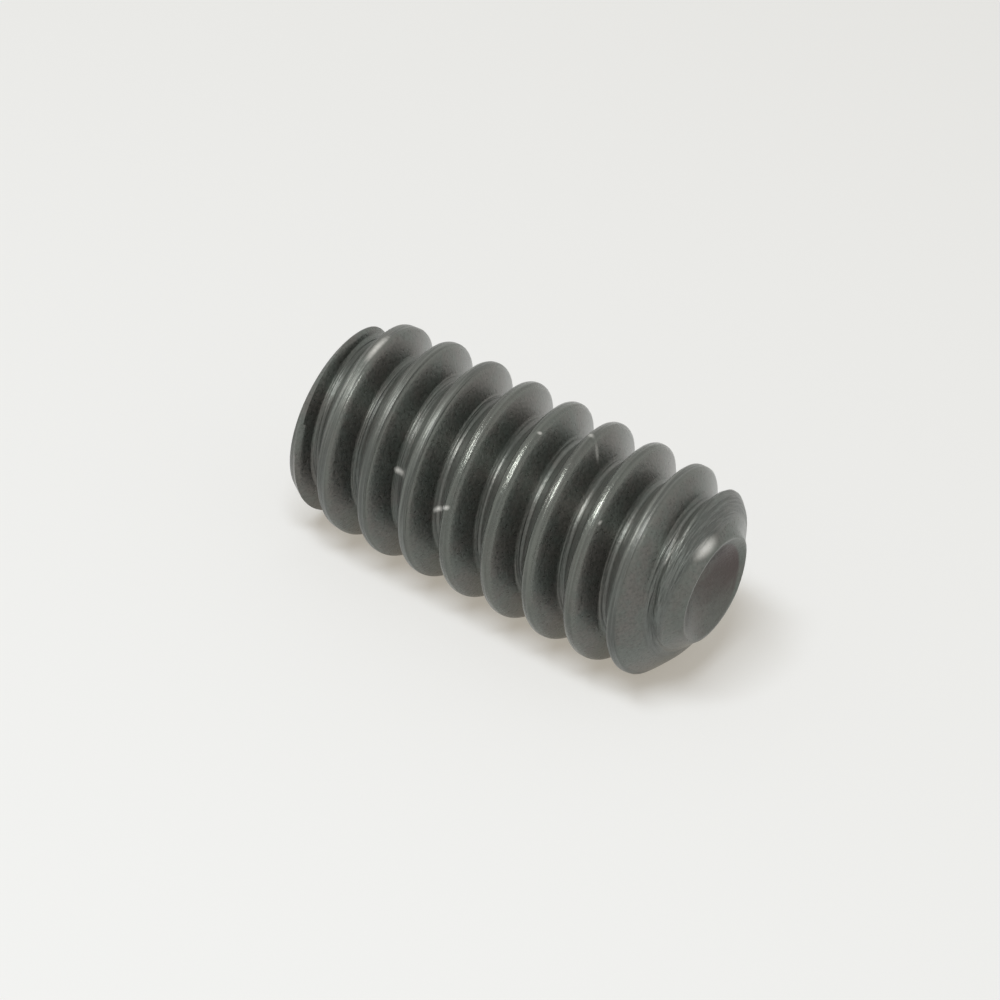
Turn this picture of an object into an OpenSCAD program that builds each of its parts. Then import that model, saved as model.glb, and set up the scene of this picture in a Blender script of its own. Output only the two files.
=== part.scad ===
/* [Thread] */
// Major diameter over the thread crests, mm
major_d = 4.80; // [4.64:0.01:4.82]
// Threads per inch, which sets the pitch
threads_per_inch = 24; // [20:1:32]
// Radius of the rounded crest, as a share of the pitch
crest_radius_share = 0.108; // [0.08:0.002:0.12]
// Radius of the rounded root, as a share of the pitch
root_radius_share = 0.144; // [0.11:0.002:0.15]
// Angle at which the thread starts, seen from the cup point, degrees
thread_start = 127; // [0:1:359]

/* [Body] */
// Length from end to end, mm
body_length = 9.525; // [6.35:0.005:12.7]

/* [Cup point] */
// Diameter of the cup at its rim, mm
cup_d = 2.34; // [2.24:0.01:2.6]
// Full angle of the cone in the cup, degrees
cup_angle = 118; // [110:1:130]
// Width of the flat rim left round the cup, mm
cup_rim_w = 0.06; // [0.03:0.01:0.1]
// Angle of the point chamfer from the face of the end, degrees
point_angle = 45; // [40:1:50]
// How far the last thread crest stands above the point chamfer, mm
last_crest_lift = 0.23; // [0.1:0.01:0.4]
// How much lower than the others the last full crest is, mm
last_crest_drop = 0.06; // [0.02:0.01:0.1]
// Length over which the crests sink towards the point chamfer, mm
last_crest_run = 1.8; // [1:0.1:2]
// Depth of the last crest below the end of the point, mm
last_crest_depth = 0.44; // [0.38:0.01:0.5]
// Width of plain chamfer between the rim and the end of the thread, mm
plain_chamfer_w = 0.18; // [0.12:0.01:0.25]

/* [Socket end] */
// Diameter of the flat face at the socket end, mm
socket_face_d = 4.00; // [3.8:0.01:4.1]
// Angle of the socket end's chamfer from its face, degrees
socket_end_angle = 58; // [45:1:65]
// How much lower than the others the first crest is, mm
first_crest_drop = 0.12; // [0.02:0.01:0.2]
// Length over which the crests rise from the socket end's chamfer, mm
first_crest_run = 1.5; // [1:0.1:2]
// Size of the socket across its flats, mm
socket_flats = 2.41; // [2.38:0.01:2.45]
// Depth of the hexagon, mm
socket_depth = 3.0; // [2.54:0.05:3.4]
// Width of the chamfer at the socket's corners, mm
mouth_chamfer = 0.1; // [0.05:0.01:0.15]
// Full angle of the drilled floor under the hexagon, degrees
floor_angle = 118; // [110:1:130]

/* [Hidden] */
$fn = 96;
// Room past a face, so that a cut goes clean through it
over = 0.5;
// Room between the crests and the blank where the blank doesn't trim them
crest_room = 0.01;
// Facets round a whole turn of the thread, and chords along its rounded crest and root
turn_steps = 48;
crest_chords = 3;
root_chords = 4;
// Each flank's angle from a plane across the screw
flank_angle = 30;
// Turns by which the swept wall goes on below the socket end, and is longer than the body in all
turns_below = 1.5;
turns_over = 2;

major_r = major_d / 2;
pitch = 25.4 / threads_per_inch;
crest_r = crest_radius_share * pitch;
root_r = root_radius_share * pitch;
arc_half = 90 - flank_angle;

// Both arcs are tangent to the flanks, and each is placed by its centre's distance from the screw's axis
flank_z = pitch / 2 - (crest_r + root_r) * sin(arc_half);
crest_centre = major_r - crest_r;
root_centre = crest_centre + (crest_r + root_r) * cos(arc_half) - flank_z / tan(flank_angle);

// One pitch of the thread's profile as [radius, height], starting at the low side of a crest
crest_arc = [
    for (i = [0:crest_chords])
        let (a = arc_half * (2 * i / crest_chords - 1))
        [crest_centre + crest_r * cos(a), crest_r * sin(a)]
];
root_arc = [
    for (i = [0:root_chords])
        let (a = arc_half * (2 * i / root_chords - 1))
        [root_centre - root_r * cos(a), pitch / 2 + root_r * sin(a)]
];
profile = concat(crest_arc, root_arc);
profile_n = len(profile);
root_first = len(crest_arc);

// The point chamfer's cone, as its radius at a height and its height at a radius
point_r = cup_d / 2 + cup_rim_w;
function point_cone_r(z) = point_r + (body_length - z) / tan(point_angle);
function point_cone_z(r) = body_length - (r - point_r) * tan(point_angle);
// The thread has run out on the chamfer at this radius
tip_r = point_r + plain_chamfer_w;
// Height of the last crest, which stands above the chamfer
last_crest_z = body_length - last_crest_depth;
last_full_r = major_r - last_crest_drop;
last_full_z = point_cone_z(last_full_r - last_crest_lift);

socket_face_r = socket_face_d / 2;
first_crest_r = major_r - first_crest_drop;
first_crest_z = (first_crest_r - socket_face_r) * tan(socket_end_angle);

cup_depth = cup_d / 2 / tan(cup_angle / 2);
socket_corner_r = socket_flats / 2 / cos(30);
mouth_r = socket_corner_r + mouth_chamfer;
floor_r = socket_flats / 2;
floor_depth = floor_r / tan(floor_angle / 2);

// The wall is swept along the helix from below the socket end to above the cup
start_z = -turns_below * pitch;
sections = (ceil(body_length / pitch) + turns_over) * turn_steps;
function section_z(section) = start_z + pitch * section / turn_steps;

// Near the point the root follows the chamfer, so that its groove runs out on the cone
function wall_r(k, z) =
    k < root_first ? profile[k][0]
    : min(profile[k][0], max(point_cone_r(z), tip_r + crest_room));
function helix_point(section, k) =
    let (
        a = thread_start + 360 * section / turn_steps,
        z = section_z(section) + profile[k][1],
        r = wall_r(k, z)
    )
    [r * cos(a), r * sin(a), z];
// A section ends where the one a whole turn on begins, and past the last section only that edge goes on
function at(section, k) =
    k == profile_n ? at(section + turn_steps, 0)
    : section < sections ? section * profile_n + k
    : sections * profile_n + section - sections;
// The edge at which the wall ends, once round the screw and back down one pitch
function rim(section) = concat(
    [for (s = [section:section + turn_steps]) at(s, 0)],
    [for (k = [profile_n - 1:-1:1]) at(section, k)]
);

// A right-hand screw, longer than the body at both ends
module thread_rod() {
    top = sections - 1;
    wall_points = [for (s = [0:top], k = [0:profile_n - 1]) helix_point(s, k)];
    edge_points = [for (s = [sections:top + turn_steps]) helix_point(s, 0)];
    cap_points = [for (s = [0, top]) [0, 0, section_z(s) + pitch / 2]];
    low_cap = len(wall_points) + len(edge_points);
    high_cap = low_cap + 1;
    low_rim = rim(0);
    high_rim = rim(top);
    rim_n = len(low_rim);
    walls = [
        for (s = [0:top - 1], k = [0:profile_n - 1])
            each [[at(s, k), at(s, k + 1), at(s + 1, k + 1)], [at(s, k), at(s + 1, k + 1), at(s + 1, k)]]
    ];
    caps = [
        for (n = [0:rim_n - 1])
            let (m = (n + 1) % rim_n)
            each [[low_cap, low_rim[n], low_rim[m]], [high_cap, high_rim[m], high_rim[n]]]
    ];
    polyhedron(concat(wall_points, edge_points, cap_points), concat(walls, caps));
}

// The outline that the crests and both ends keep to, from the socket end to the cup
module turned_blank() {
    full_r = major_r + crest_room;
    rotate_extrude()
        polygon([
            [0, 0],
            [socket_face_r, 0],
            [first_crest_r, first_crest_z],
            [full_r, first_crest_z + first_crest_run],
            [full_r, last_full_z - last_crest_run],
            [last_full_r, last_full_z],
            [point_cone_r(last_crest_z) + last_crest_lift, last_crest_z],
            [tip_r, point_cone_z(tip_r)],
            [point_r, body_length],
            [0, body_length]
        ]);
}

// The key socket: the hexagon, its drilled floor and the chamfer round its mouth
module hex_socket() {
    translate([0, 0, -over])
        cylinder(h = socket_depth + over, r = socket_corner_r, $fn = 6);
    translate([0, 0, socket_depth])
        cylinder(h = floor_depth, r1 = floor_r, r2 = 0);
    translate([0, 0, -over])
        cylinder(h = mouth_r + over, r1 = mouth_r + over, r2 = 0);
}

module cup() {
    grow = 1 + over / cup_depth;
    translate([0, 0, body_length - cup_depth])
        cylinder(h = cup_depth * grow, r1 = 0, r2 = cup_d / 2 * grow);
}

module set_screw() {
    color("#3c403d")
        difference() {
            intersection() {
                thread_rod();
                turned_blank();
            }
            hex_socket();
            cup();
        }
}

set_screw();
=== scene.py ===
import math

import bmesh
import bpy
from bpy.props import FloatProperty, FloatVectorProperty, IntProperty, PointerProperty
from mathutils import Matrix, Vector


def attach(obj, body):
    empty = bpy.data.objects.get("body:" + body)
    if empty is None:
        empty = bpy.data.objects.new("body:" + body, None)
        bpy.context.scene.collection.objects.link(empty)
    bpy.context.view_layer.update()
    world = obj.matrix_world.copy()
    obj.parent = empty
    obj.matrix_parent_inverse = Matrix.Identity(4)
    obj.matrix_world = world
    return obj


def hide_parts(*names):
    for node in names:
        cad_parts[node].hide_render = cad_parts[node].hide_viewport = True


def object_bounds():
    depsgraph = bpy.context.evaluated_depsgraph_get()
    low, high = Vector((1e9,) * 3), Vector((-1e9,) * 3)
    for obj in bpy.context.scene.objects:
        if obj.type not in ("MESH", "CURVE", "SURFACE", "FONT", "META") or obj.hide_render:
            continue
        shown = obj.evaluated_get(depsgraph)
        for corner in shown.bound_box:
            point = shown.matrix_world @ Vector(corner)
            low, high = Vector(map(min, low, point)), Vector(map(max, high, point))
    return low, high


bl_info = {
    "name": "Set screw",
    "version": (1, 0, 0),
    "blender": (4, 5, 0),
    "location": "3D View > Sidebar > Set screw",
    "description": "Builds a cup point set screw with its black oxide finish, and a plain stage for it",
    "category": "Object",
}

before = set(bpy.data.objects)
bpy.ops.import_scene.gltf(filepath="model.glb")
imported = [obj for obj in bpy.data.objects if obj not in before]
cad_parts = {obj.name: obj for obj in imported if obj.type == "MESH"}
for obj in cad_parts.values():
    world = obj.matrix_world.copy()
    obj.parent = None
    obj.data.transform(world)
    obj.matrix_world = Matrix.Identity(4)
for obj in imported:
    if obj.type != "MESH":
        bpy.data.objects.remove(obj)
CAD_LOW, CAD_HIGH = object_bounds()

MM = 0.001
INCH = 0.0254
NODE = "set_screw"

# The photograph's camera: how far it looks down on the cup's end, how steeply the screw slopes down to
# the right in the picture, and the point of the picture that the lens looks at, in the 1000 pixel frame
CAMERA_TILT = math.radians(22.89)
PICTURE_SLOPE = math.radians(26.69)
CAMERA_DISTANCE = 0.10824
LENS = 182.85
PICTURE_WIDTH = 1000
AIM_X = 525.5
AIM_Y = 501.1
SENSOR_WIDTH = 36.0

# Half the side of the paper, then the window lamp's direction from the screw, its distance and its size.
# All lengths are in metres
PAPER_HALF = 0.09
WINDOW_DIRECTION = (-0.42, -0.86, -0.02)
WINDOW_DISTANCE = 0.15
WINDOW_WIDTH = 0.032
WINDOW_HEIGHT = 0.09


def linear(code):
    """Turns an sRGB hex colour such as "3c403d" into linear red, green and blue."""
    parts = [int(code[i : i + 2], 16) / 255 for i in (0, 2, 4)]
    return tuple(c / 12.92 if c <= 0.04045 else ((c + 0.055) / 1.055) ** 2.4 for c in parts)


def rgba(colour):
    """A colour with its alpha, as a node's colour socket takes it."""
    return (*colour, 1.0)


# Settings that many nodes share: the kinds of sum, and a range that starts and ends softly
MATH = "ShaderNodeMath"
PLUS = {"operation": "ADD"}
MINUS = {"operation": "SUBTRACT"}
TIMES = {"operation": "MULTIPLY"}
TIMES_PLUS = {"operation": "MULTIPLY_ADD"}
OVER = {"operation": "DIVIDE"}
ROOT_OF = {"operation": "SQRT"}
LEAST = {"operation": "MINIMUM"}
MOST = {"operation": "MAXIMUM"}
SOFT = {"interpolation_type": "SMOOTHSTEP"}


def add(tree, kind, settings=None, inputs=None):
    """Adds a node, sets its properties, and fills each input with a value or another node's output."""
    node = tree.nodes.new(kind)
    for name, value in (settings or {}).items():
        setattr(node, name, value)
    for key, value in (inputs or {}).items():
        socket = node.inputs[key]
        if isinstance(value, bpy.types.Node):
            value = next(output for output in value.outputs if output.enabled)
        if isinstance(value, bpy.types.NodeSocket):
            tree.links.new(value, socket)
        else:
            socket.default_value = value
    return node


class ScrewSizes(bpy.types.PropertyGroup):
    """Sizes of the screw.

    They are its solid's, but for slightly rounder crests, sharper roots and the point's run-out. Each of
    these differs by a few hundredths of the pitch or of the diameter.
    """

    length: FloatProperty(
        name="Length",
        description="Length from the socket end's face to the cup's rim",
        default=CAD_HIGH.z - CAD_LOW.z,
        subtype="DISTANCE",
        unit="LENGTH",
    )
    major_diameter: FloatProperty(
        name="Major diameter",
        description="Diameter over the thread crests",
        default=4.80 * MM,
        subtype="DISTANCE",
        unit="LENGTH",
    )
    threads_per_inch: FloatProperty(
        name="Threads per inch",
        description="Number of thread turns in an inch, which sets the pitch",
        default=24.0,
    )
    crest_share: FloatProperty(
        name="Crest radius",
        description="Radius of the rounded crest, as a share of the pitch",
        default=0.15,
    )
    root_share: FloatProperty(
        name="Root radius",
        description="Radius of the rounded root, as a share of the pitch",
        default=0.08,
    )
    thread_start: FloatProperty(
        name="Thread start",
        description="Angle round the axis at which the thread starts",
        default=math.radians(127),
        subtype="ANGLE",
        unit="ROTATION",
    )
    face_diameter: FloatProperty(
        name="Socket end face",
        description="Diameter of the flat face at the socket end",
        default=4.00 * MM,
        subtype="DISTANCE",
        unit="LENGTH",
    )
    cup_diameter: FloatProperty(
        name="Cup diameter",
        description="Diameter of the cup at its rim",
        default=2.34 * MM,
        subtype="DISTANCE",
        unit="LENGTH",
    )
    rim_width: FloatProperty(
        name="Rim width",
        description="Width of the rim left round the cup",
        default=0.06 * MM,
        subtype="DISTANCE",
        unit="LENGTH",
    )
    cup_angle: FloatProperty(
        name="Cup angle",
        description="Full angle of the hollow cone in the cup",
        default=math.radians(118),
        subtype="ANGLE",
        unit="ROTATION",
    )
    socket_flats: FloatProperty(
        name="Socket flats",
        description="Size of the key socket across its flats",
        default=2.41 * MM,
        subtype="DISTANCE",
        unit="LENGTH",
    )
    socket_depth: FloatProperty(
        name="Socket depth",
        description="Depth of the hexagon",
        default=3.0 * MM,
        subtype="DISTANCE",
        unit="LENGTH",
    )
    point_run_out: FloatProperty(
        name="Point run-out",
        description="How far the point's end stands off the thread's axis",
        default=0.13 * MM,
        subtype="DISTANCE",
        unit="LENGTH",
    )
    columns: IntProperty(
        name="Columns",
        description="Faces round the screw, a multiple of six so that the socket's corners are sharp",
        default=300,
    )
    rows_per_turn: IntProperty(
        name="Rows per turn",
        description="Faces across one turn of the thread",
        default=28,
    )


class ScrewFinish(bpy.types.PropertyGroup):
    """Colours of the black oxide finish, and of the painted shade, painted light and painted glints laid on
    it.
    """

    green_oxide: FloatVectorProperty(
        name="Green oxide",
        description="The oxide's greenish grey",
        default=linear("696e69"),
        subtype="COLOR",
        size=3,
    )
    brown_oxide: FloatVectorProperty(
        name="Brown oxide",
        description="The oxide's brownish grey",
        default=linear("6e6b67"),
        subtype="COLOR",
        size=3,
    )
    # Darker shade of the grain's pits, also used as painted shade between the rolling lines
    pit_oxide_and_groove_shade: FloatVectorProperty(
        name="Pit oxide",
        description="The darker shade in the pits of the oxide's grain",
        default=linear("4a4d48"),
        subtype="COLOR",
        size=3,
    )
    # Browner oxide tone with painted shade, for the hollow of the cup
    cup_oxide_and_shade: FloatVectorProperty(
        name="Cup oxide",
        description="The darker brown left in the cup",
        default=linear("4d4341"),
        subtype="COLOR",
        size=3,
    )
    # Lighter grey of the rubbed crests, also used as painted light on the flank that faces the socket end
    # and on the rim
    worn_crest_and_painted_light: FloatVectorProperty(
        name="Worn crest",
        description="The lighter grey of the rubbed crests",
        default=linear("6c6f69"),
        subtype="COLOR",
        size=3,
    )
    # Bright steel for the nicks, also used for the painted glints
    bare_steel_and_glint: FloatVectorProperty(
        name="Bare steel",
        description="The bright steel in a nick",
        default=linear("dcdad4"),
        subtype="COLOR",
        size=3,
    )


class StageSettings(bpy.types.PropertyGroup):
    """The paper and the light round the screw."""

    paper: FloatVectorProperty(
        name="Paper",
        description="Colour of the paper and of the background",
        default=linear("eeeeec"),
        subtype="COLOR",
        size=3,
    )
    paper_shade: FloatVectorProperty(
        name="Paper shade",
        description="Warmer colour that the paper leans to where the screw shades it",
        default=linear("eae0cf"),
        subtype="COLOR",
        size=3,
    )
    paper_glow: FloatProperty(
        name="Paper glow",
        description="Share of the paper's brightness that no shadow takes",
        default=0.43,
        subtype="FACTOR",
    )
    paper_turn: FloatProperty(
        name="Paper turn",
        description="Angle round the screw's axis at which the paper touches it",
        default=math.radians(42),
        subtype="ANGLE",
        unit="ROTATION",
    )
    surround: FloatProperty(
        name="Surround",
        description="Strength of the even light from all round",
        default=0.37,
    )
    window: FloatProperty(
        name="Window",
        description="Brightness of the lamp's face",
        default=20.0,
    )


# How the crests run out at both ends, in mm: the same sizes as in the solid, then the length over which the
# point's run-out grows
FIRST_CREST_DROP = 0.12
FIRST_CREST_RUN = 1.5
SOCKET_END_ANGLE = math.radians(58)
LAST_CREST_DROP = 0.06
LAST_CREST_RUN = 1.8
LAST_CREST_LIFT = 0.23
LAST_CREST_DEPTH = 0.44
PLAIN_CHAMFER = 0.18
CREST_ROOM = 0.01
RUN_OUT_LENGTH = 1.5
# How widely the crests' edges are rounded, in mm: narrow along the thread, wide where it runs out
EDGE_BLEND = 0.08
POINT_BLEND = 0.30
# The flanks stand 30 degrees from a plane across the screw, so each rounded crest and root spans this angle
# to either side of its middle
ARC_HALF = math.radians(60)
# How far rows are drawn together at the crests and roots: 0 is even, and at 1 they would meet
ROW_PULL = 0.55
# Turns of rows that start below the socket end, and turns in all beyond those of the body
TURNS_BELOW = 1.5
TURNS_OVER = 2
# Corners closer than this are one, in mm
TOUCHING = 0.001


def wall_outline(sizes):
    """The outline that the crests keep to, as heights and radii from the socket end to the cup's rim."""
    crest = sizes.major_diameter / 2
    face = sizes.face_diameter / 2
    rim = sizes.cup_diameter / 2 + sizes.rim_width
    free = crest + CREST_ROOM * MM
    first_crest = crest - FIRST_CREST_DROP * MM
    first_height = (first_crest - face) * math.tan(SOCKET_END_ANGLE)
    last_full = crest - LAST_CREST_DROP * MM
    last_full_height = sizes.length - (last_full - LAST_CREST_LIFT * MM - rim)
    last_depth = LAST_CREST_DEPTH * MM
    return [
        (0.0, face),
        (first_height, first_crest),
        (first_height + FIRST_CREST_RUN * MM, free),
        (last_full_height - LAST_CREST_RUN * MM, free),
        (last_full_height, last_full),
        (sizes.length - last_depth, rim + last_depth + LAST_CREST_LIFT * MM),
        (sizes.length - PLAIN_CHAMFER * MM, rim + PLAIN_CHAMFER * MM),
        (sizes.length, rim),
    ]


def wall_turns(sizes):
    """Turns of rows that cover the screw at every angle, those that start below it too."""
    return math.ceil(sizes.length * sizes.threads_per_inch / INCH) + TURNS_OVER


def thread_tree(sizes):
    """A rolled thread as one helical wall: its rows follow the thread and its ends keep to the outline."""
    tree = bpy.data.node_groups.new("rolled_thread", "GeometryNodeTree")
    tree.is_modifier = True
    named = {
        "Length": sizes.length,
        "Major Radius": sizes.major_diameter / 2,
        "Pitch": INCH / sizes.threads_per_inch,
        "Crest Radius": sizes.crest_share * INCH / sizes.threads_per_inch,
        "Root Radius": sizes.root_share * INCH / sizes.threads_per_inch,
        "Start": sizes.thread_start,
        "Edge Blend": EDGE_BLEND * MM,
        "Point Blend": POINT_BLEND * MM,
    }
    tree.interface.new_socket(name="Geometry", in_out="INPUT", socket_type="NodeSocketGeometry")
    for name, value in named.items():
        socket = tree.interface.new_socket(name=name, in_out="INPUT", socket_type="NodeSocketFloat")
        socket.default_value = value
    for name in ("Columns", "Rows"):
        tree.interface.new_socket(name=name, in_out="INPUT", socket_type="NodeSocketInt")
    tree.interface.new_socket(name="Material", in_out="INPUT", socket_type="NodeSocketMaterial")
    tree.interface.new_socket(name="Geometry", in_out="OUTPUT", socket_type="NodeSocketGeometry")
    given = tree.nodes.new("NodeGroupInput").outputs
    length = given["Length"]
    major = given["Major Radius"]
    pitch = given["Pitch"]
    crest_radius = given["Crest Radius"]
    root_radius = given["Root Radius"]

    # A flat grid, whose x is the turn round the screw and whose y is the way along the thread's wall
    grid = add(tree, "GeometryNodeMeshGrid", None, {0: 1.0, 1: 1.0, 2: given["Columns"], 3: given["Rows"]})
    place = add(tree, "ShaderNodeSeparateXYZ", None, {0: add(tree, "GeometryNodeInputPosition")})
    turn = add(tree, MATH, PLUS, {0: place.outputs["X"], 1: 0.5})
    way = add(tree, MATH, PLUS, {0: place.outputs["Y"], 1: 0.5})
    angle = add(tree, MATH, TIMES, {0: turn, 1: math.tau})

    # Rows are drawn together at the crests and roots, where the wall bends
    turns = wall_turns(sizes)
    row = add(tree, MATH, TIMES, {0: way, 1: float(turns)})
    wave = add(tree, MATH, TIMES, {0: row, 1: 2 * math.tau})
    wave = add(tree, MATH, {"operation": "SINE"}, {0: wave})
    row = add(tree, MATH, TIMES_PLUS, {0: wave, 1: -ROW_PULL / (2 * math.tau), 2: row})

    # Height of the lowest crest at this angle: a right-hand thread climbs with the angle
    started = add(tree, MATH, MINUS, {0: angle, 1: given["Start"]})
    crest_turn = add(tree, MATH, TIMES_PLUS, {0: started, 1: 1 / math.tau, 2: -TURNS_BELOW})
    high = add(tree, MATH, PLUS, {0: crest_turn, 1: row})
    height = add(tree, MATH, TIMES, {0: high, 1: pitch})
    height = add(tree, "ShaderNodeClamp", None, {0: height, 1: 0.0, 2: length})

    # Distance along the axis from the nearest crest
    share = add(tree, MATH, OVER, {0: height, 1: pitch})
    share = add(tree, MATH, MINUS, {0: share, 1: crest_turn})
    share = add(tree, MATH, {"operation": "PINGPONG"}, {0: share, 1: 0.5})
    off = add(tree, MATH, TIMES, {0: share, 1: pitch})

    # The rounded crest, the flank at 30 degrees and the rounded root, each tangent to the next
    cos_arc = math.cos(ARC_HALF)
    sin_arc = math.sin(ARC_HALF)
    steep = math.tan(ARC_HALF)
    crest_mid = add(tree, MATH, MINUS, {0: major, 1: crest_radius})
    crest_edge = add(tree, MATH, TIMES, {0: crest_radius, 1: sin_arc})
    flank_top = add(tree, MATH, TIMES_PLUS, {0: crest_radius, 1: cos_arc, 2: crest_mid})
    past_edge = add(tree, MATH, MINUS, {0: off, 1: crest_edge})
    flank = add(tree, MATH, TIMES_PLUS, {0: past_edge, 1: -steep, 2: flank_top})
    crest_square = add(tree, MATH, TIMES, {0: crest_radius, 1: crest_radius})
    off_square = add(tree, MATH, TIMES, {0: off, 1: off})
    crest_up = add(tree, MATH, MINUS, {0: crest_square, 1: off_square})
    crest_up = add(tree, MATH, MOST, {0: crest_up, 1: 0.0})
    crest_up = add(tree, MATH, ROOT_OF, {0: crest_up})
    crest = add(tree, MATH, PLUS, {0: crest_mid, 1: crest_up})

    half_pitch = add(tree, MATH, TIMES, {0: pitch, 1: 0.5})
    root_edge = add(tree, MATH, TIMES_PLUS, {0: root_radius, 1: -sin_arc, 2: half_pitch})
    flank_wide = add(tree, MATH, MINUS, {0: root_edge, 1: crest_edge})
    flank_foot = add(tree, MATH, TIMES_PLUS, {0: flank_wide, 1: -steep, 2: flank_top})
    root_mid = add(tree, MATH, TIMES_PLUS, {0: root_radius, 1: cos_arc, 2: flank_foot})
    root_deep = add(tree, MATH, MINUS, {0: root_mid, 1: root_radius})
    root_off = add(tree, MATH, MINUS, {0: half_pitch, 1: off})
    root_square = add(tree, MATH, TIMES, {0: root_radius, 1: root_radius})
    root_off_square = add(tree, MATH, TIMES, {0: root_off, 1: root_off})
    root_down = add(tree, MATH, MINUS, {0: root_square, 1: root_off_square})
    root_down = add(tree, MATH, MOST, {0: root_down, 1: 0.0})
    root_down = add(tree, MATH, ROOT_OF, {0: root_down})
    root = add(tree, MATH, MINUS, {0: root_mid, 1: root_down})

    at_crest = add(tree, MATH, {"operation": "LESS_THAN"}, {0: off, 1: crest_edge})
    at_root = add(tree, MATH, {"operation": "GREATER_THAN"}, {0: off, 1: root_edge})
    profile = add(tree, "GeometryNodeSwitch", {"input_type": "FLOAT"}, {0: at_crest, 1: flank, 2: crest})
    profile = add(tree, "GeometryNodeSwitch", {"input_type": "FLOAT"}, {0: at_root, 1: profile, 2: root})

    # Near the point the groove's bottom follows the chamfer, so that the thread runs out on it
    rim = sizes.cup_diameter / 2 + sizes.rim_width
    cone = add(tree, MATH, MINUS, {0: length, 1: height})
    cone = add(tree, MATH, PLUS, {0: cone, 1: rim})
    floor = add(tree, MATH, LEAST, {0: root_deep, 1: cone})
    full_depth = add(tree, MATH, MINUS, {0: major, 1: root_deep})
    depth = add(tree, MATH, MINUS, {0: major, 1: profile})
    depth = add(tree, MATH, OVER, {0: depth, 1: full_depth})
    fall = add(tree, MATH, MINUS, {0: major, 1: floor})
    cut = add(tree, MATH, TIMES, {0: fall, 1: depth})
    thread = add(tree, MATH, MINUS, {0: major, 1: cut})

    # The crests keep inside the outline. Its straight lines meet in corners, and the last two in a hollow
    outline = wall_outline(sizes)
    lines = [
        add(
            tree,
            "ShaderNodeMapRange",
            {"clamp": False},
            {0: height, 1: low, 2: high, 3: low_radius, 4: high_radius},
        )
        for (low, low_radius), (high, high_radius) in zip(outline, outline[1:])
    ]
    blank = add(tree, MATH, MOST, {0: lines[-2], 1: lines[-1]})
    for line in lines[:-2]:
        blank = add(tree, MATH, LEAST, {0: blank, 1: line})
    blend = add(
        tree,
        "ShaderNodeMapRange",
        SOFT,
        {
            0: height,
            1: sizes.length - RUN_OUT_LENGTH * MM,
            2: sizes.length - LAST_CREST_DEPTH * MM,
            3: given["Edge Blend"],
            4: given["Point Blend"],
        },
    )
    wall = add(tree, MATH, {"operation": "SMOOTH_MIN"}, {0: thread, 1: blank, 2: blend})

    x = add(tree, MATH, {"operation": "COSINE"}, {0: angle})
    y = add(tree, MATH, {"operation": "SINE"}, {0: angle})
    x = add(tree, MATH, TIMES, {0: x, 1: wall})
    y = add(tree, MATH, TIMES, {0: y, 1: wall})
    spot = add(tree, "ShaderNodeCombineXYZ", None, {0: x, 1: y, 2: height})
    rolled = add(tree, "GeometryNodeSetPosition", None, {"Geometry": grid, "Position": spot})
    closed = add(tree, "GeometryNodeMergeByDistance", None, {"Geometry": rolled, "Distance": TOUCHING * MM})
    real = add(tree, "GeometryNodeRealizeInstances", None, {"Geometry": closed})
    coated = add(tree, "GeometryNodeSetMaterial", None, {"Geometry": real, "Material": given["Material"]})
    add(tree, "NodeGroupOutput", None, {0: coated})
    return tree


def rolled_wall(sizes, material):
    """The thread's wall as a plain mesh, open at both ends."""
    tree = thread_tree(sizes)
    carrier = bpy.data.objects.new("thread_carrier", bpy.data.meshes.new("thread_carrier"))
    bpy.context.scene.collection.objects.link(carrier)
    modifier = carrier.modifiers.new("rolled_thread", "NODES")
    modifier.node_group = tree
    counts = {
        "Columns": sizes.columns + 1,
        "Rows": wall_turns(sizes) * sizes.rows_per_turn + 1,
        "Material": material,
    }
    for item in tree.interface.items_tree:
        if item.item_type == "SOCKET" and item.in_out == "INPUT" and item.name in counts:
            modifier[item.identifier] = counts[item.name]
    bpy.context.view_layer.update()
    depsgraph = bpy.context.evaluated_depsgraph_get()
    mesh = bpy.data.meshes.new_from_object(carrier.evaluated_get(depsgraph))
    mesh.name = "screw_body"
    bpy.data.objects.remove(carrier)
    return mesh


def edge_loop(mesh, height):
    """The open edge's corners at one height, in order round the axis."""
    corners = {
        corner
        for edge in mesh.edges
        if edge.is_boundary
        for corner in edge.verts
        if abs(corner.co.z - height) < TOUCHING * MM
    }
    return sorted(corners, key=lambda corner: math.atan2(corner.co.y, corner.co.x) % math.tau)


def close_end(mesh, loop, rings, apex):
    """Closes an open end with rings and an apex. A ring gives a radius and a height for each angle."""
    angles = [math.atan2(corner.co.y, corner.co.x) for corner in loop]
    outer = loop
    for ring in rings:
        inner = []
        for angle in angles:
            radius, height = ring(angle)
            inner.append(mesh.verts.new((radius * math.cos(angle), radius * math.sin(angle), height)))
        for i, corner in enumerate(outer):
            after = (i + 1) % len(outer)
            mesh.faces.new((corner, outer[after], inner[after], inner[i]))
        outer = inner
    tip = mesh.verts.new((0, 0, apex))
    for i, corner in enumerate(outer):
        mesh.faces.new((corner, outer[(i + 1) % len(outer)], tip))


def lean_point(mesh, sizes):
    """Moves the point a little to one side, as it was pointed a little off the thread's axis."""
    start = sizes.length - RUN_OUT_LENGTH * MM
    full = sizes.length - LAST_CREST_DEPTH * MM
    for corner in mesh.verts:
        share = min(max((corner.co.z - start) / (full - start), 0), 1)
        corner.co.x -= sizes.point_run_out * share * share * (3 - 2 * share)


def circle(radius, height):
    """A ring of one radius at one height."""
    return lambda angle: (radius, height)


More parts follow.
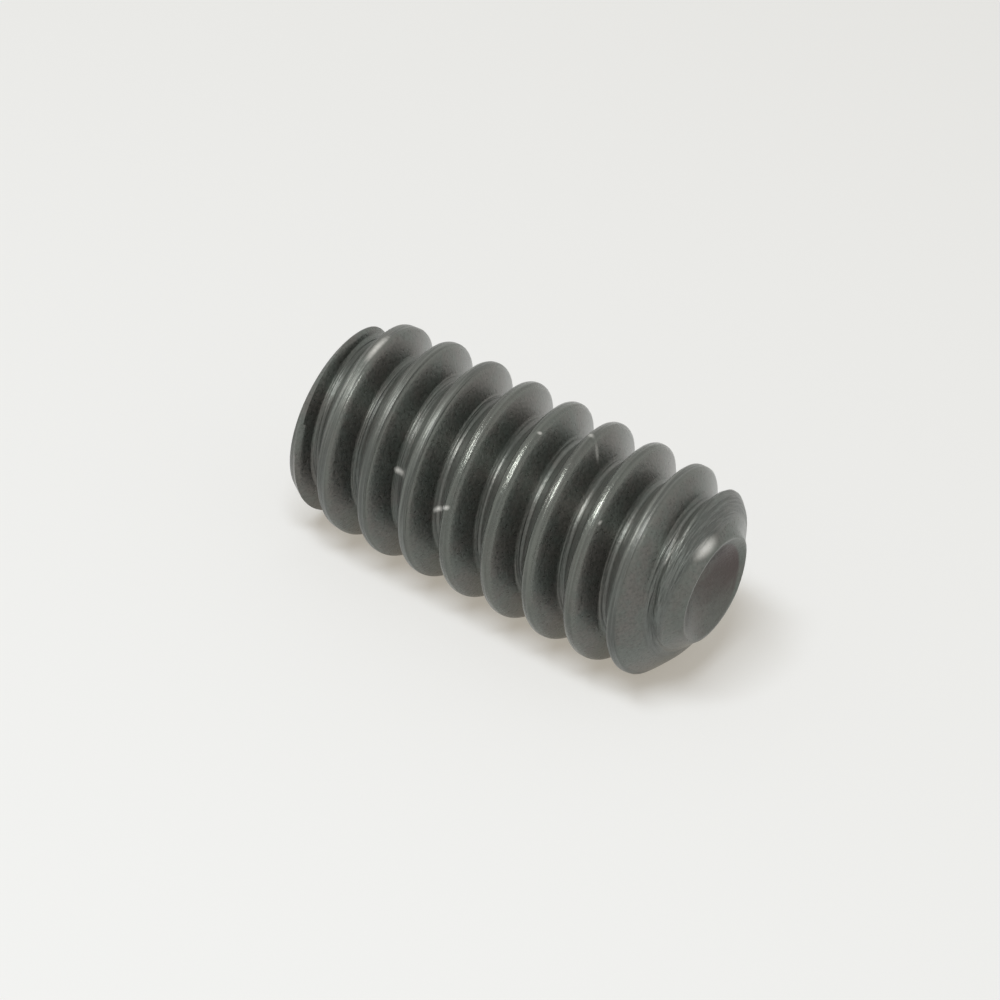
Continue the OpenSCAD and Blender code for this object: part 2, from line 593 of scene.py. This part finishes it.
# Rings in the cup, as shares of its radius, then along the hexagon's walls, as shares of their height, and
# on the drilled floor, as shares of its radius. They stand closer together at a sharp edge
CUP_SHARES = (1.0, 0.985, 0.95, 0.9, 0.8, 0.7, 0.6, 0.5, 0.4, 0.3, 0.2, 0.1, 0.04)
WALL_SHARES = (0.02, 0.2, 0.4, 0.6, 0.8, 0.98, 1.0)
FLOOR_EDGE_SHARE = 0.99
FLOOR_SHARES = (0.96, 0.7, 0.4, 0.1)
# The chamfer round the socket's mouth, in mm, and half the angle of its drilled floor
MOUTH_CHAMFER = 0.1
FLOOR_HALF_ANGLE = math.radians(59)
# Edges that bend more than this are sharp
SHARP_ANGLE = math.radians(60)


def cup_rings(sizes):
    """The rim's inner edge and the hollow cone below it, down to its tip."""
    radius = sizes.cup_diameter / 2
    depth = radius / math.tan(sizes.cup_angle / 2)
    rings = [circle(radius * share, sizes.length - depth * (1 - share)) for share in CUP_SHARES]
    return rings, sizes.length - depth


def socket_rings(sizes):
    """The socket end's face, the chamfered mouth, the hexagon's walls and the drilled floor to its tip."""
    flat = sizes.socket_flats / 2
    depth = sizes.socket_depth
    sixth = math.radians(60)
    mouth = flat / math.cos(math.radians(30)) + MOUTH_CHAMFER * MM
    floor_rise = flat / math.tan(FLOOR_HALF_ANGLE)

    def hexagon(angle):
        return flat / math.cos((angle % sixth) - sixth / 2)

    def chamfer_edge(angle):
        return hexagon(angle), mouth - hexagon(angle)

    def wall(share):
        def ring(angle):
            radius, edge = chamfer_edge(angle)
            return radius, edge + (depth - edge) * share
        return ring

    # The first ring is as far outside the mouth as the chamfer is wide
    rings = [circle(mouth + MOUTH_CHAMFER * MM, 0.0), circle(mouth, 0.0), chamfer_edge]
    rings += [wall(share) for share in WALL_SHARES]
    rings += [circle(flat * FLOOR_EDGE_SHARE, depth)]
    rings += [circle(flat * share, depth + floor_rise * (1 - share)) for share in FLOOR_SHARES]
    return rings, depth + floor_rise


# Nicks and rubbed spots that bare the steel, and two painted highlights drawn as bare steel: a glint on the
# # point chamfer and a streak on the last groove's edge. Each has two ends, given by the angle round the
# screw
# # in degrees and by the height and radius in mm, then its half width in mm and how bare or bright it is
NICKS_AND_GLINTS = {
    "nick low on the thread": ((290, 2.48, 1.80), (292, 2.63, 1.75), 0.07, 1.0),
    "end of the low nick": ((290, 2.80, 1.95), (288, 2.95, 2.20), 0.06, 0.9),
    "nick half way up": ((305, 3.63, 1.77), (303, 3.71, 1.75), 0.07, 1.0),
    "end of the middle nick": ((294, 4.00, 2.25), (291, 4.18, 2.39), 0.06, 1.0),
    "scratch over a crest": ((219, 6.02, 2.40), (224, 6.36, 2.07), 0.075, 1.0),
    "rubbed first crest": ((239, 0.88, 2.32), (220, 0.82, 2.31), 0.08, 0.85),
    # Painted glint: bright steel where the chamfer would catch the light
    "painted glint on the point chamfer": ((243, 9.33, 1.46), (229, 9.36, 1.44), 0.16, 0.8),
    # Painted highlight: a bright streak along the last groove's edge
    "painted highlight on the last groove's edge": ((264, 8.93, 1.77), (250, 9.01, 1.88), 0.07, 0.8),
    "rubbed last groove": ((265, 7.96, 1.84), (254, 7.94, 1.86), 0.06, 0.7),
    "speck on a crest": ((234, 5.14, 2.37), (233, 5.20, 2.37), 0.04, 0.7),
    "speck on a late crest": ((264, 7.40, 2.28), (262, 7.44, 2.28), 0.04, 0.7),
}


def round_place(angle, height, radius):
    """A point on the screw from its angle in degrees, height and radius."""
    turned = math.radians(angle)
    return Vector((radius * math.cos(turned), radius * math.sin(turned), height))


def crest_phase(sizes):
    """Turns to add to the climb so that it is a whole number along the crests."""
    return sizes.thread_start / math.tau - 0.5


# How fine each pattern of the finish is, in features to a millimetre
LINES_ACROSS = 18.0
LINES_ALONG = 0.5
GRAIN = 14.0
PATCHES = 0.9
# How fine the marks round the axis are, as a share of the rolling lines
TURNED_FINENESS = 0.7
# Depth of the relief in mm, and each pattern's share of it
RELIEF = 0.05
LINES_RELIEF = 1.4
FAINT_RELIEF = 0.04
TURNED_RELIEF = 0.1
GRAIN_RELIEF = 0.22
# Distances from the crest across the thread, in mm, over which the rolling lines fade out and come back
CREST_FADE = (0.04, 0.12)
ROOT_FADE = (0.40, 0.47)
# Heights between which the first turns' deeper lines fade out, and depths below the rim between which the
# last turns' begin, in mm
EARLY_FADE = (3.0, 4.6)
LATE_FADE = (2.0, 1.4)
# Radii between which marks round the axis give way to lines along the thread, in mm
TURNED_FADE = (1.45, 1.6)
# Depths below the crests between which they are rubbed lighter, and between which they turn smooth, in mm
CREST_RUB = (0.16, 0.03)
CREST_SMOOTH = (0.12, 0.03)
# Depths below the rim between which it is rubbed lighter, wear with a painted highlight, in mm
RIM_RUB = (0.06, 0.01)
# The width over which the cup's darker brown and its painted shade fade at the cup's edge, and the depths
# # below the rim between which they begin, in mm
CUP_EDGE = 0.06
CUP_FADE = (1.2, 0.9)


def black_oxide_steel(sizes, finish):
    """Black oxide on thread-rolled alloy steel: a dark satin grey that mirrors its surroundings dimly, with
    fine rolling lines along the thread, rubbed crests and a few bright nicks. It also carries painted
    light:
    painted shade in the cup and between the rolling lines, a lighter painted tint on the flank that faces
    the socket end, a painted highlight on the rim, and two painted glints."""
    material = bpy.data.materials.new("black_oxide_finish")
    material.use_nodes = True
    tree = material.node_tree
    tree.nodes.clear()
    number_mix = {"data_type": "FLOAT"}
    colour_mix = {"data_type": "RGBA"}
    pitch = INCH / MM / sizes.threads_per_inch
    crest = sizes.major_diameter / 2 / MM
    cup = sizes.cup_diameter / 2 / MM
    end = sizes.length / MM

    coordinates = add(tree, "ShaderNodeTexCoord").outputs["Object"]
    place = add(tree, "ShaderNodeVectorMath", {"operation": "SCALE"}, {0: coordinates, "Scale": 1 / MM})
    parts = add(tree, "ShaderNodeSeparateXYZ", None, {0: place}).outputs
    flat_place = add(tree, "ShaderNodeCombineXYZ", None, {0: parts["X"], 1: parts["Y"]})
    radius = add(tree, "ShaderNodeVectorMath", {"operation": "LENGTH"}, {0: flat_place})
    radius = radius.outputs["Value"]

    # Distance from the crest along the axis, in mm, which stays the same along the thread
    angle = add(tree, MATH, {"operation": "ARCTAN2"}, {0: parts["Y"], 1: parts["X"]})
    turn = add(tree, MATH, TIMES_PLUS, {0: angle, 1: -1 / math.tau, 2: crest_phase(sizes)})
    climb = add(tree, MATH, TIMES_PLUS, {0: parts["Z"], 1: 1 / pitch, 2: turn})
    across = add(tree, MATH, {"operation": "WRAP"}, {0: climb, 1: 0.5, 2: -0.5})
    across = add(tree, MATH, TIMES, {0: across, 1: pitch})

    # Rolling lines, about 0.1 mm apart across the thread and a few mm long. The real ones are finer, and
    # they are drawn coarser so that they show
    across_lines = add(tree, MATH, TIMES, {0: across, 1: LINES_ACROSS})
    radius_lines = add(tree, MATH, TIMES, {0: radius, 1: LINES_ACROSS})
    along_x = add(tree, MATH, TIMES, {0: parts["X"], 1: LINES_ALONG})
    along_y = add(tree, MATH, TIMES, {0: parts["Y"], 1: LINES_ALONG})
    along_y = add(tree, MATH, PLUS, {0: along_y, 1: parts["Z"]})
    helix = add(tree, "ShaderNodeCombineXYZ", None, {0: radius_lines, 1: across_lines, 2: along_x})
    rolling = add(
        tree,
        "ShaderNodeTexNoise",
        {"noise_dimensions": "4D"},
        {"Vector": helix, "W": along_y, "Scale": 1.0, "Detail": 2.0, "Roughness": 0.5},
    )

    # The lines are plain on the flank that faces the socket end, and faint on the other
    fade_start, fade_end = CREST_FADE
    past_crest = add(
        tree,
        "ShaderNodeMapRange",
        SOFT,
        {0: across, 1: fade_start, 2: fade_end, 3: 1.0, 4: 0.0},
    )
    fade_start, fade_end = ROOT_FADE
    past_root = add(tree, "ShaderNodeMapRange", SOFT, {0: across, 1: fade_start, 2: fade_end})
    band = add(tree, MATH, PLUS, {0: past_crest, 1: past_root})

    # They are deeper on the first turns at the socket end, where rolling starts, and on the last
    fade_start, fade_end = EARLY_FADE
    early = add(tree, "ShaderNodeMapRange", SOFT, {0: parts["Z"], 1: fade_end, 2: fade_start})
    fade_start, fade_end = LATE_FADE
    late = add(tree, "ShaderNodeMapRange", SOFT, {0: parts["Z"], 1: end - fade_start, 2: end - fade_end})
    coarse = add(tree, MATH, MOST, {0: early, 1: late})
    in_band = add(tree, "ShaderNodeMapRange", None, {0: coarse, 3: 0.55, 4: 1.0})
    in_band = add(tree, MATH, TIMES, {0: in_band, 1: band})
    deep = add(tree, MATH, TIMES, {0: in_band, 1: LINES_RELIEF})
    deep = add(tree, MATH, MOST, {0: deep, 1: FAINT_RELIEF})
    rolled = add(tree, MATH, TIMES, {0: rolling, 1: deep})

    # The chamfer, the cup and the socket have marks that run round the axis
    turned_place = add(tree, "ShaderNodeCombineXYZ", None, {0: radius_lines, 1: 0.0, 2: parts["Z"]})
    turned = add(
        tree,
        "ShaderNodeTexNoise",
        None,
        {"Vector": turned_place, "Scale": TURNED_FINENESS, "Detail": 2.0},
    )
    turned = add(tree, MATH, TIMES, {0: turned, 1: TURNED_RELIEF})
    fade_start, fade_end = TURNED_FADE
    inside = add(tree, "ShaderNodeMapRange", SOFT, {0: radius, 1: fade_end, 2: fade_start})
    marks = add(tree, "ShaderNodeMix", number_mix, {0: inside, 2: rolled, 3: turned})

    # The oxide's own fine grain, drawn coarser than it is, about 0.07 mm, so that it shows
    grain = add(
        tree,
        "ShaderNodeTexNoise",
        None,
        {"Vector": place, "Scale": GRAIN, "Detail": 4.0, "Roughness": 0.65},
    )

    # Patches about a millimetre across lean to green or to brown
    patches = add(
        tree,
        "ShaderNodeTexNoise",
        None,
        {"Vector": place, "Scale": PATCHES, "Detail": 6.0, "Roughness": 0.75},
    )
    patches = add(tree, "ShaderNodeMapRange", SOFT, {0: patches, 1: 0.38, 2: 0.62})
    colour = add(
        tree,
        "ShaderNodeMix",
        colour_mix,
        {0: patches, 6: rgba(finish.green_oxide), 7: rgba(finish.brown_oxide)},
    )

    # The grain shows as a mottle, a shade darker in its pits
    pits = add(tree, "ShaderNodeMapRange", None, {0: grain, 1: 0.38, 2: 0.62, 3: 0.5, 4: 0.0})
    colour = add(tree, "ShaderNodeMix", colour_mix, {0: pits, 6: colour, 7: rgba(finish.pit_oxide_and_groove_shade)})

    # The cup is darker brown: the oxide's browner tone plus painted shade in the hollow, deepest on the
    # wall
    # # that faces away from the window
    cup_shade_mask = add(tree, "ShaderNodeMapRange", SOFT, {0: radius, 1: cup, 2: cup - CUP_EDGE})
    low, high = (end - depth for depth in CUP_FADE)
    near_end = add(tree, "ShaderNodeMapRange", SOFT, {0: parts["Z"], 1: low, 2: high})
    cup_shade_mask = add(tree, MATH, TIMES, {0: cup_shade_mask, 1: near_end})
    side = add(tree, "ShaderNodeMapRange", SOFT, {0: parts["X"], 1: 0.6 * cup, 2: -cup, 3: 0.25, 4: 1.0})
    cup_shade_mask = add(tree, MATH, TIMES, {0: cup_shade_mask, 1: side})
    colour = add(tree, "ShaderNodeMix", colour_mix, {0: cup_shade_mask, 6: colour, 7: rgba(finish.cup_oxide_and_shade)})

    # Crests are rubbed a little lighter, more along some rolling lines than others. The flank that faces
    # the
    # # socket end gets the same lighter grey along its lines as painted light, and the rim's lighter ring
    # is wear
    # # with a painted highlight
    low, high = (crest - depth for depth in CREST_RUB)
    at_crest = add(tree, "ShaderNodeMapRange", SOFT, {0: radius, 1: low, 2: high})
    lines = add(tree, "ShaderNodeMapRange", None, {0: rolling, 1: 0.35, 2: 0.65, 3: 0.2, 4: 1.0})
    # Painted light: the flank that faces the socket end is tinted lighter along its rolling lines
    painted_lit_band = add(tree, MATH, TIMES, {0: band, 1: 0.4})
    at_crest = add(tree, MATH, MOST, {0: at_crest, 1: painted_lit_band})
    at_crest = add(tree, MATH, TIMES, {0: at_crest, 1: lines})
    low, high = (end - depth for depth in RIM_RUB)
    # The rim's lighter ring is partly a painted highlight
    on_rim = add(tree, "ShaderNodeMapRange", SOFT, {0: parts["Z"], 1: low, 2: high, 4: 0.35})
    # The rubbed crests, the painted light on the flank and the rim's painted highlight together
    rubbed = add(tree, MATH, MOST, {0: at_crest, 1: on_rim})
    colour = add(tree, "ShaderNodeMix", colour_mix, {0: rubbed, 6: colour, 7: rgba(finish.worn_crest_and_painted_light)})

    # Between the rolling lines, on the thread alone, painted shade darkens the grooves of the relief
    between = add(tree, "ShaderNodeMapRange", None, {0: rolling, 1: 0.42, 2: 0.58, 3: 0.75, 4: 0.0})
    between = add(tree, MATH, TIMES, {0: between, 1: in_band})
    on_thread = add(tree, MATH, MINUS, {0: 1.0, 1: inside})
    between = add(tree, MATH, TIMES, {0: between, 1: on_thread})
    colour = add(tree, "ShaderNodeMix", colour_mix, {0: between, 6: colour, 7: rgba(finish.pit_oxide_and_groove_shade)})

    # Each nick, and each painted glint, is a short line with a ragged edge
    ragged = add(tree, MATH, TIMES_PLUS, {0: grain, 1: 0.6, 2: -0.3})
    # Mask of the nicks and of the painted glints
    bare = None
    for first_end, last_end, half_width, share in NICKS_AND_GLINTS.values():
        first, last = round_place(*first_end), round_place(*last_end)
        middle = (first + last) / 2
        way = (last - first).normalized()
        half_length = (last - first).length / 2 + half_width
        from_middle = add(tree, "ShaderNodeVectorMath", {"operation": "SUBTRACT"}, {0: place, 1: middle})
        ahead = add(tree, "ShaderNodeVectorMath", {"operation": "DOT_PRODUCT"}, {0: from_middle, 1: way})
        ahead = add(tree, MATH, OVER, {0: ahead.outputs["Value"], 1: half_length})
        aside = add(tree, "ShaderNodeVectorMath", {"operation": "CROSS_PRODUCT"}, {0: from_middle, 1: way})
        aside = add(tree, "ShaderNodeVectorMath", {"operation": "LENGTH"}, {0: aside})
        aside = add(tree, MATH, OVER, {0: aside.outputs["Value"], 1: half_width})
        apart = add(tree, "ShaderNodeCombineXYZ", None, {0: ahead, 1: aside})
        apart = add(tree, "ShaderNodeVectorMath", {"operation": "LENGTH"}, {0: apart})
        apart = add(tree, MATH, PLUS, {0: apart.outputs["Value"], 1: ragged})
        nick = add(tree, "ShaderNodeMapRange", SOFT, {0: apart, 1: 1.4, 2: 0.1, 4: share})
        bare = nick if bare is None else add(tree, MATH, MOST, {0: bare, 1: nick})
    colour = add(tree, "ShaderNodeMix", colour_mix, {0: bare, 6: colour, 7: rgba(finish.bare_steel_and_glint)})

    # Matt where the rolling lines are plain, smoother on the middle turns' crests and on the other flank
    low, high = (crest - depth for depth in CREST_SMOOTH)
    smooth = add(tree, "ShaderNodeMapRange", SOFT, {0: radius, 1: low, 2: high})
    fine = add(tree, "ShaderNodeMapRange", None, {0: coarse, 3: 1.0, 4: 0.0})
    smooth = add(tree, MATH, TIMES, {0: smooth, 1: fine})
    worked = add(tree, MATH, MINUS, {0: 1.0, 1: smooth})
    worked = add(tree, MATH, TIMES, {0: worked, 1: in_band})
    worked = add(tree, MATH, TIMES, {0: worked, 1: on_thread})
    roughness = add(tree, "ShaderNodeMapRange", None, {0: worked, 3: 0.30, 4: 0.40})
    roughness = add(tree, "ShaderNodeMix", number_mix, {0: smooth, 2: roughness, 3: 0.22})
    spread = add(tree, "ShaderNodeMapRange", None, {0: grain, 1: 0.3, 2: 0.7, 3: -0.04, 4: 0.04})
    roughness = add(tree, MATH, PLUS, {0: roughness, 1: spread})
    scattering = add(tree, MATH, TIMES, {0: worked, 1: 0.65})
    scattering = add(tree, MATH, MOST, {0: scattering, 1: bare})
    metallic = add(tree, "ShaderNodeMapRange", None, {0: scattering, 3: 0.94, 4: 0.35})
    height = add(tree, MATH, TIMES_PLUS, {0: grain, 1: GRAIN_RELIEF, 2: marks})
    bump = add(tree, "ShaderNodeBump", None, {"Strength": 1.0, "Distance": RELIEF * MM, "Height": height})

    # Rolling lines run round the screw, so they spread a highlight across the thread and not along it. The
    # oil that black oxide is sealed with is a thin coat, which brightens the surface where it turns away
    backward = add(tree, MATH, TIMES, {0: parts["Y"], 1: -1.0})
    round_way = add(tree, "ShaderNodeCombineXYZ", None, {0: backward, 1: parts["X"]})
    round_way = add(
        tree,
        "ShaderNodeVectorTransform",
        {"vector_type": "VECTOR", "convert_from": "OBJECT", "convert_to": "WORLD"},
        {0: round_way},
    )
    shader = add(
        tree,
        "ShaderNodeBsdfPrincipled",
        None,
        {
            "Base Color": colour,
            "Metallic": metallic,
            "Roughness": roughness,
            "Anisotropic": 0.65,
            "Anisotropic Rotation": 0.25,
            "Tangent": round_way,
            "Coat Weight": 0.35,
            "Coat Roughness": 0.35,
            "Normal": bump,
        },
    )
    add(tree, "ShaderNodeOutputMaterial", None, {"Surface": shader})
    return material


def screw_body(sizes, finish):
    """The whole screw as one closed mesh: the rolled wall, the cup and the key socket."""
    material = black_oxide_steel(sizes, finish)
    mesh = rolled_wall(sizes, material)
    shape = bmesh.new()
    shape.from_mesh(mesh)
    rings, apex = cup_rings(sizes)
    close_end(shape, edge_loop(shape, sizes.length), rings, apex)
    rings, apex = socket_rings(sizes)
    close_end(shape, edge_loop(shape, 0.0), rings, apex)
    lean_point(shape, sizes)
    bmesh.ops.recalc_face_normals(shape, faces=shape.faces)
    for face in shape.faces:
        face.smooth = True
        face.material_index = 0
    shape.to_mesh(mesh)
    shape.free()
    mesh.materials.clear()
    mesh.materials.append(material)
    mesh.set_sharp_from_angle(angle=SHARP_ANGLE)
    body = bpy.data.objects.new("screw_body", mesh)
    bpy.context.scene.collection.objects.link(body)
    return body


def seen_rays(tree):
    """One for rays seen by the camera, straight, mirrored or through glass, and zero for the others."""
    path = add(tree, "ShaderNodeLightPath").outputs
    seen = add(tree, MATH, MOST, {0: path["Is Camera Ray"], 1: path["Is Glossy Ray"]})
    return add(tree, MATH, MOST, {0: seen, 1: path["Is Transmission Ray"]})


def paper_material(stage):
    """Matt paper that keeps a soft warm shadow, and is clear from behind so that the screw shows."""
    material = bpy.data.materials.new("matt_paper")
    material.use_nodes = True
    tree = material.node_tree
    tree.nodes.clear()
    # In full light the paper's own brightness and its lit part add up to its colour
    share = stage.paper_glow
    lit = [(whole - share * shade) / (1 - share) for whole, shade in zip(stage.paper, stage.paper_shade)]
    paper = add(tree, "ShaderNodeBsdfDiffuse", None, {"Color": rgba(lit)})
    glow = add(tree, "ShaderNodeEmission", None, {"Color": rgba(stage.paper_shade), "Strength": 1.0})
    glow_share = add(tree, MATH, TIMES, {0: seen_rays(tree), 1: share})
    paper = add(tree, "ShaderNodeMixShader", None, {0: glow_share, 1: paper, 2: glow})
    clear = add(tree, "ShaderNodeBsdfTransparent")
    behind = add(tree, "ShaderNodeNewGeometry").outputs["Backfacing"]
    from_camera = add(tree, "ShaderNodeLightPath").outputs["Is Camera Ray"]
    hidden = add(tree, MATH, TIMES, {0: from_camera, 1: behind})
    mixed = add(tree, "ShaderNodeMixShader", None, {0: hidden, 1: paper, 2: clear})
    add(tree, "ShaderNodeOutputMaterial", None, {"Surface": mixed})
    return material


def paper_sheet(sizes, stage):
    """A sheet that touches the thread along its whole length, on the side away from the camera."""
    toward = Vector((math.cos(stage.paper_turn), math.sin(stage.paper_turn), 0))
    sideways = Vector((-toward.y, toward.x, 0))
    upward = Vector((0, 0, 1))
    middle = toward * sizes.major_diameter / 2 + upward * sizes.length / 2
    corners = [
        middle + sideways * a * PAPER_HALF + upward * b * PAPER_HALF
        for a, b in ((-1, -1), (-1, 1), (1, 1), (1, -1))
    ]
    mesh = bpy.data.meshes.new("paper")
    mesh.from_pydata(corners, [], [(0, 1, 2, 3)])
    if mesh.polygons[0].normal.dot(toward) > 0:
        mesh.flip_normals()
    mesh.materials.append(paper_material(stage))
    sheet = bpy.data.objects.new("paper", mesh)
    bpy.context.scene.collection.objects.link(sheet)


def surround(stage):
    """An even pale surround, as bright as the paper where it is seen or mirrored."""
    world = bpy.data.worlds.new("surround")
    world.use_nodes = True
    tree = world.node_tree
    tree.nodes.clear()
    strength = add(tree, "ShaderNodeMapRange", None, {0: seen_rays(tree), 3: stage.surround, 4: 1.0})
    glow = add(tree, "ShaderNodeBackground", None, {"Color": rgba(stage.paper), "Strength": strength})
    add(tree, "ShaderNodeOutputWorld", None, {"Surface": glow})
    bpy.context.scene.world = world


def window_lamp(stage, middle):
    """A tall lamp that faces the screw as a window does, given by the brightness of its face."""
    data = bpy.data.lights.new("window", "AREA")
    data.shape = "RECTANGLE"
    data.size = WINDOW_WIDTH
    data.size_y = WINDOW_HEIGHT
    data.energy = stage.window * math.pi * WINDOW_WIDTH * WINDOW_HEIGHT
    back = Vector(WINDOW_DIRECTION).normalized()
    side = Vector((0, 0, 1)).cross(back).normalized()
    over = back.cross(side)
    turned = Matrix((side, over, back)).transposed().to_4x4()
    light = bpy.data.objects.new("window", data)
    light.matrix_world = Matrix.Translation(middle + back * WINDOW_DISTANCE) @ turned
    bpy.context.scene.collection.objects.link(light)


def photo_camera(middle):
    """The photograph's camera, rolled so that the standing screw slopes as it lies in the picture."""
    toward = Vector((0, -math.cos(CAMERA_TILT), math.sin(CAMERA_TILT)))
    across = Vector((1, 0, 0))
    along = toward.cross(across)
    right = along * math.cos(PICTURE_SLOPE) - across * math.sin(PICTURE_SLOPE)
    up = -along * math.sin(PICTURE_SLOPE) - across * math.cos(PICTURE_SLOPE)
    data = bpy.data.cameras.new("camera")
    data.lens = LENS
    data.sensor_width = SENSOR_WIDTH
    data.shift_x = (PICTURE_WIDTH / 2 - AIM_X) / PICTURE_WIDTH
    data.shift_y = (AIM_Y - PICTURE_WIDTH / 2) / PICTURE_WIDTH
    data.clip_start = MM
    camera = bpy.data.objects.new("camera", data)
    turned = Matrix((right, up, toward)).transposed().to_4x4()
    camera.matrix_world = Matrix.Translation(middle + toward * CAMERA_DISTANCE) @ turned
    bpy.context.scene.collection.objects.link(camera)
    bpy.context.scene.camera = camera


class OBJECT_OT_set_screw_body(bpy.types.Operator):
    """Build the threaded body with its cup and key socket"""

    bl_idname = "object.set_screw_body"
    bl_label = "Set screw body"

    def execute(self, context):
        body = screw_body(context.scene.screw_sizes, context.scene.screw_finish)
        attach(body, "root")
        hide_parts(NODE)
        return {"FINISHED"}


class OBJECT_OT_set_screw_stage(bpy.types.Operator):
    """Set up the paper, the light and the camera"""

    bl_idname = "object.set_screw_stage"
    bl_label = "Stage"

    def execute(self, context):
        sizes = context.scene.screw_sizes
        stage = context.scene.screw_stage
        middle = Vector((0, 0, sizes.length / 2))
        paper_sheet(sizes, stage)
        surround(stage)
        window_lamp(stage, middle)
        photo_camera(middle)
        context.scene.view_settings.view_transform = "Standard"
        return {"FINISHED"}


class VIEW3D_PT_set_screw(bpy.types.Panel):
    """Sizes, colours and steps of the set screw"""

    bl_label = "Set screw"
    bl_idname = "VIEW3D_PT_set_screw"
    bl_space_type = "VIEW_3D"
    bl_region_type = "UI"
    bl_category = "Set screw"

    def draw(self, context):
        scene = context.scene
        for group in (scene.screw_sizes, scene.screw_finish, scene.screw_stage):
            box = self.layout.box()
            for name in group.__annotations__:
                box.prop(group, name)
        self.layout.operator(OBJECT_OT_set_screw_body.bl_idname)
        self.layout.operator(OBJECT_OT_set_screw_stage.bl_idname)


CLASSES = (
    ScrewSizes,
    ScrewFinish,
    StageSettings,
    OBJECT_OT_set_screw_body,
    OBJECT_OT_set_screw_stage,
    VIEW3D_PT_set_screw,
)


def register():
    for item in CLASSES:
        bpy.utils.register_class(item)
    bpy.types.Scene.screw_sizes = PointerProperty(type=ScrewSizes)
    bpy.types.Scene.screw_finish = PointerProperty(type=ScrewFinish)
    bpy.types.Scene.screw_stage = PointerProperty(type=StageSettings)


def unregister():
    del bpy.types.Scene.screw_stage
    del bpy.types.Scene.screw_finish
    del bpy.types.Scene.screw_sizes
    for item in reversed(CLASSES):
        bpy.utils.unregister_class(item)


def main():
    register()
    bpy.ops.object.set_screw_body()
    bpy.ops.object.set_screw_stage()


if __name__ == "__main__":
    main()
